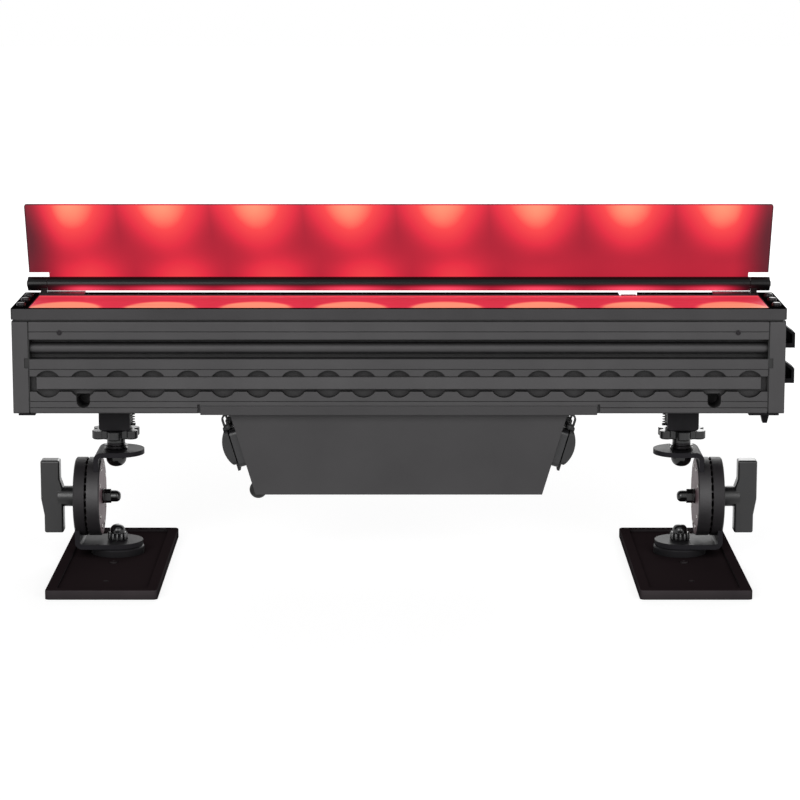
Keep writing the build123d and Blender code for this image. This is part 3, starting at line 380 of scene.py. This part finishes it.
def lit_window(settings):
    """Frosted polycarbonate film, lit from below: red, with a pale dome over the front of each lens."""
    material, tree, shader = new_material("frosted polycarbonate lit red")
    across, along, back, up = pixel_distance(tree)
    front, rear = node_span("diffuser_sheet", 1)
    depth = rear - front
    from_front = maths(tree, "SUBTRACT", back, front)
    sideways = maths(tree, "POWER", maths(tree, "DIVIDE", across, DOME_HALF), 2.0)
    backwards = maths(tree, "POWER", maths(tree, "DIVIDE", from_front, DOME_DEPTH), 2.0)
    dome = maths(tree, "SQRT", maths(tree, "ADD", sideways, backwards))
    hot = maths(tree, "SUBTRACT", 1.0, between(tree, dome, 0.82, 1.08))
    line = bell(tree, maths(tree, "SUBTRACT", from_front, depth * 0.86), depth * 0.05)
    streak = noise(tree, 14 * MM, 2.0, (0.25, 1.6, 1))
    inner = between(tree, from_front, depth, depth * 0.3)
    glow = maths(tree, "MULTIPLY", bell(tree, across, GLOW_HALF), inner)
    mixed = maths(tree, "ADD", maths(tree, "MULTIPLY", hot, 0.8), maths(tree, "MULTIPLY", line, 0.45))
    mixed = maths(tree, "ADD", mixed, maths(tree, "MULTIPLY", glow, 0.18))
    mixed = maths(tree, "MULTIPLY", mixed, value_ramp(tree, streak, 0.75, 1.2))
    tone = colour_ramp(
        tree, mixed,
        [(0.0, "#d0223a"), (0.2, settings.light_colour), (0.5, "#f04a50"), (0.95, settings.hot_colour)],
    )
    bands = noise(tree, BAND_WIDTH, 2.0, (0.02, 1.0, 1))
    tone = mix_colours(tree, value_ramp(tree, bands, 0.35, 0.0), tone, "#8c1226")
    on_sheet = maths(tree, "LESS_THAN", back, rear - TAB_DEPTH)
    tree.links.new(tone, shader.inputs["Emission Color"])
    shader.inputs["Base Color"].default_value = hex_linear("#3a1016")
    power = maths(tree, "MULTIPLY", on_sheet, settings.light_strength)
    tree.links.new(power, shader.inputs["Emission Strength"])
    shader.inputs["IOR"].default_value = 1.58
    tree.links.new(value_ramp(tree, streak, 0.35, 0.5), shader.inputs["Roughness"])
    set_bump(tree, shader, noise(tree, 0.9 * MM), 0.01 * MM)
    return material


def lit_shield(settings):
    """Powder-coated sheet that catches the beams: pale cones at its top edge, weaker pools at its foot."""
    material, tree, shader = new_material("powder-coated aluminium in red light")
    across, along, back, up = pixel_distance(tree)
    low, high = node_span("glare_shield", 2)
    height = between(tree, up, low, high, "LINEAR")
    slant = from_pixel(tree, along, value_ramp(tree, height, *CONE_LEAN))
    cone = bell(tree, slant, value_ramp(tree, height, CONE_FOOT, CONE_TOP))
    cone = maths(tree, "MULTIPLY", cone, between(tree, height, 0.24, 1.0))
    aside = from_pixel(tree, along, POOL_SHIFT)
    pool = maths(tree, "MULTIPLY", bell(tree, aside, POOL_HALF), bell(tree, height, 0.3))
    pool = maths(tree, "MULTIPLY", pool, value_ramp(tree, between(tree, along, *POOL_FADE), 0.1, 1.0))
    spill = value_ramp(tree, between(tree, height, 0.15, 0.95), 0.31, 0.22)
    total = maths(tree, "ADD", maths(tree, "MULTIPLY", cone, 0.76), maths(tree, "MULTIPLY", pool, 0.3))
    uneven = value_ramp(tree, noise(tree, 22 * MM), 0.95, 1.05)
    total = maths(tree, "MULTIPLY", maths(tree, "ADD", total, spill), uneven)
    left, right = node_span("glare_shield", 0)
    ends = maths(
        tree, "MULTIPLY", between(tree, along, left, left + SHIELD_FADE),
        between(tree, along, right, right - SHIELD_FADE),
    )
    total = maths(tree, "MULTIPLY", total, value_ramp(tree, ends, 0.45, 1.0))
    border = between(tree, up, high, high - BORDER)
    for edge, inside in ((left, left + BORDER), (right, right - BORDER)):
        border = maths(tree, "MULTIPLY", border, between(tree, along, edge, inside))
    total = maths(tree, "MULTIPLY", total, value_ramp(tree, border, 0.3, 1.0))
    normal = add_node(tree, "ShaderNodeNewGeometry").outputs["Normal"]
    facing = add_node(tree, "ShaderNodeSeparateXYZ", links={0: normal}).outputs[1]
    front = maths(tree, "LESS_THAN", facing, -0.3)
    tone = colour_ramp(
        tree, total,
        [(0.0, "#14080b"), (0.14, "#5f1422"), (0.28, "#ab1a30"), (0.45, "#e4283e"), (0.7, "#fb4548"),
         (1.0, settings.hot_colour)],
    )
    shader.inputs["Base Color"].default_value = hex_linear(settings.shield_colour)
    tree.links.new(tone, shader.inputs["Emission Color"])
    power = maths(tree, "MULTIPLY", front, settings.light_strength)
    tree.links.new(power, shader.inputs["Emission Strength"])
    shader.inputs["Roughness"].default_value = 0.5
    shader.inputs["Specular IOR Level"].default_value = 0.2
    set_bump(tree, shader, noise(tree, 0.35 * MM, 2.0), 0.02 * MM, 0.3 * MM)
    return material


def lit_tube(settings):
    """Gloss black powder coat that mirrors the lit window as a red band along its lower front side."""
    material, tree, shader = new_material("gloss powder-coated steel over red light")
    across, along, back, up = pixel_distance(tree)
    shader.inputs["Base Color"].default_value = hex_linear("#0e0d0e")
    shader.inputs["IOR"].default_value = 1.5
    shader.inputs["Specular IOR Level"].default_value = 0.15
    normal = add_node(tree, "ShaderNodeNewGeometry").outputs["Normal"]
    facing = add_node(tree, "ShaderNodeSeparateXYZ", links={0: normal}).outputs
    below = between(tree, facing[2], 0.45, -0.6)
    band = maths(tree, "MULTIPLY", below, between(tree, facing[1], 0.6, 0.1))
    left, right = node_span("shield_tube", 0)
    ends = maths(
        tree, "MULTIPLY", between(tree, along, left - TUBE_FADE, left + SHIELD_FADE),
        between(tree, along, right + TUBE_FADE, right - SHIELD_FADE),
    )
    waves = value_ramp(tree, bell(tree, across, 24 * MM), 0.62, 1.0)
    lit = maths(tree, "MULTIPLY", maths(tree, "MULTIPLY", band, ends), waves)
    tone = colour_ramp(tree, lit, [(0.0, "#12060a"), (0.3, "#6e1c2c"), (0.65, "#d02440"), (1.0, "#ff4a64")])
    tree.links.new(tone, shader.inputs["Emission Color"])
    tree.links.new(maths(tree, "MULTIPLY", lit, settings.light_strength), shader.inputs["Emission Strength"])
    tree.links.new(value_ramp(tree, noise(tree, 12 * MM), 0.2, 0.3), shader.inputs["Roughness"])
    set_bump(tree, shader, noise(tree, 0.35 * MM, 2.0), 0.01 * MM, 0.3 * MM)
    return material


def set_finish(names, material):
    """Gives CAD nodes one finish."""
    for name in names:
        mesh = NODES[name].data
        mesh.materials.clear()
        mesh.materials.append(material)


def both_feet(*names):
    return [f"{name}_{side}" for name in names for side in SIDES]


class PIXELBAR_OT_finishes(bpy.types.Operator):
    """Gives every CAD part the finish of the real one"""

    bl_idname = "pixelbar.finishes"
    bl_label = "Finishes"

    def execute(self, context):
        settings = context.scene.pixel_bar
        # Painted shade: recess darkens the housing's grooves and coves.
        housing = coated_metal("powder-coated aluminium grey", settings.housing_colour, 0.48, recess=0.85)
        set_finish(["body_extrusion", "end_cap_left", "end_cap_right"], housing)
        rail = coated_metal("powder-coated aluminium rail", shade(settings.housing_colour, 1.06), 0.42)
        set_finish(["front_rail"], rail)
        bars = shade(settings.housing_colour, 1.04)
        # Painted shade: the frame's faces that look up are near black.
        top = coated_metal("powder-coated aluminium frame", bars, 0.46, gloss=0.0, top="#0d0b0c")
        set_finish(["window_frame"], top)
        dark = coated_metal("powder-coated steel black", "#171618", 0.42, gloss=0.05)
        set_finish(["end_plates", "link_latch", "link_hooks"], dark)
        set_finish(["shield_tube", "hinge_brackets"], lit_tube(settings))
        box = coated_metal("powder-coated aluminium driver box", "#444344", 0.46)
        set_finish(["driver_box"], box)
        # Painted shade: the brackets' faces that look up are darker.
        bracket = coated_metal("powder-coated steel bracket", "#28272a", 0.42, gloss=0.04, top="#161517")
        set_finish(both_feet("upper_bracket", "lower_bracket"), bracket)
        # Painted shade: recess darkens the slide block's and base disc's hollows.
        block = coated_metal("powder-coated steel slide block", "#242325", 0.42, gloss=0.06, recess=0.5)
        set_finish(both_feet("foot_block", "base_disc"), block)
        # Painted shade: the plate's faces that look up are darker, and recess darkens its tray and holes.
        plate = coated_metal(
            "powder-coated steel plate", "#403b3d", 0.6, variation=0.09, gloss=0.0, top="#2c2426", recess=0.6
        )
        set_finish(both_feet("base_plate"), plate)
        # Painted shade: recess darkens the outer rosette's hollows.
        cast = coated_metal("cast zinc rosette", "#262426", 0.5, grain=0.9 * MM, depth=0.05 * MM, recess=0.5)
        set_finish(both_feet("rosette_outer"), cast)
        set_finish(both_feet("rosette_inner"), rosette_painted_red_light())
        nut = moulded_plastic("gloss black electrophoretic coat", "#121213", 0.16)
        set_finish(both_feet("tilt_nut", "base_nut", "dome_nut"), nut)
        knob = moulded_plastic("glass-filled nylon knob", "#161617", 0.24)
        set_finish(both_feet("star_knob"), knob)
        handle = moulded_plastic("glass-filled nylon handle", "#1c1c1d", 0.3)
        set_finish(both_feet("tilt_handle"), handle)
        steel = plain_steel("stainless steel turned", "#8f8d8a", 0.32)
        set_finish(both_feet("base_bolt", "tilt_bolt"), steel)
        blackened = plain_steel("blackened steel turned", "#2a292a", 0.3)
        set_finish(["screws"] + both_feet("clamp_bolt", "block_spring"), blackened)
        rubber = matt_rubber("silicone rubber black", "#171717")
        set_finish(["end_gaskets", "frame_gasket", "vent_plug"], rubber)
        lids = matt_rubber("silicone rubber lid", "#1d1d1e")
        set_finish([f"{use}_lid_{side}" for use in ("data", "power") for side in SIDES], lids)
        socket = moulded_plastic("polyamide connector", "#1c1c1e", 0.38)
        set_finish(["sockets"], socket)
        set_finish(["cover_glass"], clear_moulding("float glass tempered", "#f4f8f8", 0.0, 1.52))
        set_finish(["pixel_lenses"], clear_moulding("optical acrylic lens", "#ffffff", 0.02, 1.49))
        set_finish(["led_board"], moulded_plastic("epoxy board with dark solder mask", "#0f1f16", 0.35))
        set_finish(["control_board"], moulded_plastic("epoxy board green", "#1d3b27", 0.4))
        set_finish(["power_supply"], plain_steel("drawn aluminium case", "#a5a6a8", 0.38, (4, 0.4, 1)))
        set_finish(["led_chips"], moulded_plastic("phosphor on ceramic", "#e4c94e", 0.5))
        set_finish(["diffuser_sheet"], lit_window(settings))
        set_finish(["glare_shield"], lit_shield(settings))
        return {"FINISHED"}


def rosette_painted_red_light():
    """Cast zinc with a near black sprayed coat, shown on its rim; the maroon of its flat face is painted red
    light from the bar.
    """
    material, tree, shader = new_material("cast zinc rosette face in painted red light")
    normal = add_node(tree, "ShaderNodeNewGeometry").outputs["Normal"]
    facing = maths(tree, "ABSOLUTE", add_node(tree, "ShaderNodeSeparateXYZ", links={0: normal}).outputs[0])
    face = between(tree, facing, 0.8, 0.95)
    # Painted red light: faces that look along X are maroon.
    tone = colour_ramp(tree, face, [(0.0, "#262426"), (1.0, "#553b41")])
    tree.links.new(tone, shader.inputs["Base Color"])
    tree.links.new(value_ramp(tree, noise(tree, 6 * MM), 0.42, 0.58), shader.inputs["Roughness"])
    set_bump(tree, shader, noise(tree, 0.9 * MM), 0.05 * MM, 0.3 * MM)
    return material


def new_object(name, mesh_maker, material, body, smooth=True):
    """Makes an object from bmesh code and fixes it to a body."""
    shape = bmesh.new()
    mesh_maker(shape)
    bmesh.ops.recalc_face_normals(shape, faces=shape.faces)
    mesh = bpy.data.meshes.new(name)
    shape.to_mesh(mesh)
    shape.free()
    mesh.materials.append(material)
    piece = bpy.data.objects.new(name, mesh)
    bpy.context.scene.collection.objects.link(piece)
    if smooth:
        mesh.shade_smooth()
        mesh.set_sharp_from_angle(angle=math.radians(35))
    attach(piece, body)
    return piece


def turned(shape, outline, origin, direction, sides=24):
    """Adds a closed turned form: outline is (height, radius) from the foot's middle to the top's middle."""
    turn = Vector(direction).to_track_quat("Z", "Y").to_matrix().to_4x4()
    place = Matrix.Translation(origin) @ turn
    rings = []
    for height, radius in outline:
        if radius == 0:
            rings.append([shape.verts.new(place @ Vector((0, 0, height)))])
            continue
        steps = [2 * math.pi * i / sides for i in range(sides)]
        corners = [Vector((radius * math.cos(a), radius * math.sin(a), height)) for a in steps]
        rings.append([shape.verts.new(place @ corner) for corner in corners])
    for low, high in zip(rings, rings[1:]):
        for i in range(sides):
            j = (i + 1) % sides
            corners = [low[i % len(low)], low[j % len(low)], high[j % len(high)], high[i % len(high)]]
            unique = list(dict.fromkeys(corners))
            if len(unique) > 2:
                shape.faces.new(unique)


class PIXELBAR_OT_rosette_screws(bpy.types.Operator):
    """Adds the small socket screws in the flat face of each inner rosette half"""

    bl_idname = "pixelbar.rosette_screws"
    bl_label = "Rosette screws"

    def execute(self, context):
        settings = context.scene.pixel_bar
        material = plain_steel("stainless steel small screw", "#b8b6b2", 0.22)
        radius = settings.pin_radius
        outline = [
            (-0.3 * MM, 0), (-0.3 * MM, radius), (0.25 * MM, radius), (0.5 * MM, radius * 0.75),
            (0.5 * MM, radius * 0.45), (0.1 * MM, radius * 0.4), (0.1 * MM, 0),
        ]
        for side in SIDES:
            low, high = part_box(f"rosette_inner_{side}")
            inward = Vector((1 if side == "left" else -1, 0, 0))
            face = high.x if side == "left" else low.x
            centre = Vector((face, (low.y + high.y) / 2, (low.z + high.z) / 2))

            def screws(shape, centre=centre, inward=inward):
                for turn in ROSETTE_SCREW_TURNS:
                    angle = math.radians(turn - 90)
                    arm = Vector((0, math.cos(angle), math.sin(angle))) * settings.pin_circle
                    turned(shape, outline, centre + arm, inward, 16)

            new_object(f"rosette_screws_{side}", screws, material, f"yoke_{side}")
        return {"FINISHED"}


class PIXELBAR_OT_hinge_heads(bpy.types.Operator):
    """Adds the domed pin heads on the outer ends of the shield's two hinge knuckles"""

    bl_idname = "pixelbar.hinge_heads"
    bl_label = "Hinge pin heads"

    def execute(self, context):
        material = plain_steel("blackened steel pin head", "#2c2b2c", 0.28)
        hinge = Vector(JOINTS["shield_hinge"]["pos_m"])
        low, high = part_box("hinge_brackets")
        radius = HINGE_HEAD_RADIUS
        outline = [
            (-0.3 * MM, 0), (-0.3 * MM, radius), (0.5 * MM, radius), (0.9 * MM, radius * 0.7),
            (0.9 * MM, radius * 0.42), (0.3 * MM, radius * 0.38), (0.3 * MM, 0),
        ]

        def heads(shape):
            for end, way in ((low.x, -1), (high.x, 1)):
                turned(shape, outline, Vector((end, hinge.y, hinge.z)), (way, 0, 0))

        new_object("hinge_pin_heads", heads, material, "housing")
        return {"FINISHED"}


class PIXELBAR_OT_contacts(bpy.types.Operator):
    """Adds the ring and the contact pins inside each cable socket"""

    bl_idname = "pixelbar.contacts"
    bl_label = "Socket contacts"

    def execute(self, context):
        ring_finish = moulded_plastic("polyamide socket insert", "#2a2a2b", 0.45)
        pin_finish = plain_steel("tinned brass contact", "#c9b98d", 0.25)
        lean = math.radians(WALL_LEAN)
        for use in ("data", "power"):
            for side, way in (("left", -1), ("right", 1)):
                pin = Vector(JOINTS[f"{use}_lid_hinge_{side}"]["pos_m"])
                out = Vector((way * math.cos(lean), 0, -math.sin(lean)))
                down = Vector((-way * math.sin(lean), 0, -math.cos(lean)))
                floor = pin + down * SOCKET_DROP - out * SOCKET_DEPTH

                def insert(shape, floor=floor, out=out):
                    turned(shape, INSERT_OUTLINE, floor, out, 32)

                def contacts(shape, floor=floor, out=out, down=down):
                    for i in range(CONTACT_COUNT):
                        angle = 2 * math.pi * (i + 0.5) / CONTACT_COUNT
                        arm = down * math.cos(angle) + Vector((0, 1, 0)) * math.sin(angle)
                        turned(shape, CONTACT_OUTLINE, floor + arm * CONTACT_CIRCLE, out, 12)

                new_object(f"{use}_insert_{side}", insert, ring_finish, "housing")
                new_object(f"{use}_contacts_{side}", contacts, pin_finish, "housing")
        return {"FINISHED"}


class PIXELBAR_OT_foot_trim(bpy.types.Operator):
    """Adds the serrated skirt of each base nut and the thin washers over each upper bracket"""

    bl_idname = "pixelbar.foot_trim"
    bl_label = "Foot trim"

    def execute(self, context):
        nut_finish = moulded_plastic("gloss black electrophoretic skirt", "#161617", 0.18)
        ring_finish = plain_steel("blackened steel washer", "#3a393a", 0.25)
        for side in SIDES:
            low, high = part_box(f"base_nut_{side}")
            centre = Vector(((low.x + high.x) / 2, (low.y + high.y) / 2, low.z))
            radius = (high.y - low.y) / 2

            def skirt(shape, centre=centre, radius=radius):
                for i in range(SKIRT_RIBS):
                    angle = 2 * math.pi * i / SKIRT_RIBS
                    foot = centre + Vector((math.cos(angle), math.sin(angle), 0)) * (radius + RIB_STAND_OFF)
                    turned(shape, RIB_OUTLINE, foot, (0, 0, 1), 8)

            new_object(f"base_nut_ribs_{side}", skirt, nut_finish, f"base_{side}")
            bolt_low, bolt_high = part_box(f"clamp_bolt_{side}")
            tab_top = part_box(f"upper_bracket_{side}")[1].z
            middle = (bolt_low + bolt_high) / 2

            def washers(shape, middle=middle, tab_top=tab_top):
                for height in WASHER_HEIGHTS:
                    foot = Vector((middle.x, middle.y, tab_top + height))
                    turned(shape, WASHER_OUTLINE, foot, (0, 0, 1), 32)

            new_object(f"clamp_washers_{side}", washers, ring_finish, f"foot_slider_{side}")
        return {"FINISHED"}


class PIXELBAR_OT_stage(bpy.types.Operator):
    """Sets up the floor, the studio lights, the world and the camera"""

    bl_idname = "pixelbar.stage"
    bl_label = "Stage"

    def execute(self, context):
        settings = context.scene.pixel_bar
        scene = context.scene
        floor_mesh = bpy.data.meshes.new("floor")
        reach = FLOOR_REACH
        corners = [(-reach, -reach, 0), (reach, -reach, 0), (reach, reach, 0), (-reach, reach, 0)]
        floor_mesh.from_pydata(corners, [], [(0, 1, 2, 3)])
        floor = bpy.data.objects.new("floor", floor_mesh)
        floor.location.z = -FLOOR_DROP
        scene.collection.objects.link(floor)
        floor_mesh.materials.append(pale_floor())
        world = bpy.data.worlds.new("studio")
        scene.world = world
        world.use_nodes = True
        tree = world.node_tree
        tree.nodes.clear()
        paper = hex_linear("#ffffff")
        plain = add_node(tree, "ShaderNodeBackground", {"Color": paper, "Strength": ROOM_LIGHT})
        white = add_node(tree, "ShaderNodeBackground", {"Color": paper, "Strength": 1.0})
        seen = seen_rays(tree)
        mixed = add_node(
            tree, "ShaderNodeMixShader", links={0: seen, 1: plain.outputs[0], 2: white.outputs[0]}
        )
        add_node(tree, "ShaderNodeOutputWorld", links={0: mixed.outputs[0]})
        for name, (place, power) in SOFT_BOXES.items():
            add_lamp(name, place, power)
        camera_data = bpy.data.cameras.new("camera")
        camera_data.lens = settings.camera_lens
        camera_data.sensor_width = 36
        camera = bpy.data.objects.new("camera", camera_data)
        camera.location = CAMERA_PLACE
        camera.rotation_euler = (math.pi / 2 - settings.camera_pitch, 0, 0)
        scene.collection.objects.link(camera)
        scene.camera = camera
        scene.view_settings.view_transform = "Standard"
        return {"FINISHED"}


def seen_rays(tree):
    """1 for rays that show the background: from the camera, through glass or off a glossy face."""
    rays = add_node(tree, "ShaderNodeLightPath").outputs
    through = maths(tree, "MAXIMUM", rays["Is Transmission Ray"], rays["Is Glossy Ray"])
    return maths(tree, "MAXIMUM", rays["Is Camera Ray"], through)


def add_lamp(name, place, power):
    """A square soft box that faces the middle of the bar."""
    data = bpy.data.lights.new(name, "AREA")
    data.size = SOFT_BOX_SIZE
    data.energy = power
    lamp = bpy.data.objects.new(name, data)
    lamp.location = place
    aim = Vector((BAR_MIDDLE, 0, 0.12)) - Vector(place)
    lamp.rotation_euler = aim.to_track_quat("-Z", "Y").to_euler()
    bpy.context.scene.collection.objects.link(lamp)


def pale_floor():
    """Seamless white paper: shows as white to the camera, under the object's faint shadow."""
    material, tree, shader = new_material("seamless paper white")
    shader.inputs["Base Color"].default_value = hex_linear("#a0a0a0")
    shader.inputs["Roughness"].default_value = 0.9
    seen = seen_rays(tree)
    shader.inputs["Emission Color"].default_value = hex_linear("#ffffff")
    away = add_node(tree, "ShaderNodeVectorMath", {"operation": "LENGTH"}, {0: places(tree)}).outputs["Value"]
    white = value_ramp(tree, between(tree, away, *FLOOR_WHITENS), *FLOOR_SEEN)
    tree.links.new(maths(tree, "MULTIPLY", seen, white), shader.inputs["Emission Strength"])
    set_bump(tree, shader, noise(tree, 3 * MM), 0.02 * MM)
    return material


class PIXELBAR_PT_panel(bpy.types.Panel):
    """Lists the bar's settings and steps"""

    bl_idname = "PIXELBAR_PT_panel"
    bl_label = "Led Pixel Bar"
    bl_space_type = "VIEW_3D"
    bl_region_type = "UI"
    bl_category = "Pixel Bar"

    def draw(self, context):
        for name in BarSettings.__annotations__:
            self.layout.prop(context.scene.pixel_bar, name)
        for operator in OPERATORS:
            self.layout.operator(operator.bl_idname)


OPERATORS = (
    PIXELBAR_OT_finishes, PIXELBAR_OT_rosette_screws, PIXELBAR_OT_hinge_heads, PIXELBAR_OT_contacts,
    PIXELBAR_OT_foot_trim, PIXELBAR_OT_stage,
)
CLASSES = (BarSettings, *OPERATORS, PIXELBAR_PT_panel)


def register():
    for item in CLASSES:
        bpy.utils.register_class(item)
    bpy.types.Scene.pixel_bar = bpy.props.PointerProperty(type=BarSettings)


def unregister():
    del bpy.types.Scene.pixel_bar
    for item in reversed(CLASSES):
        bpy.utils.unregister_class(item)


def main():
    register()
    bpy.ops.pixelbar.finishes()
    bpy.ops.pixelbar.rosette_screws()
    bpy.ops.pixelbar.hinge_heads()
    bpy.ops.pixelbar.contacts()
    bpy.ops.pixelbar.foot_trim()
    bpy.ops.pixelbar.stage()


if __name__ == "__main__":
    main()
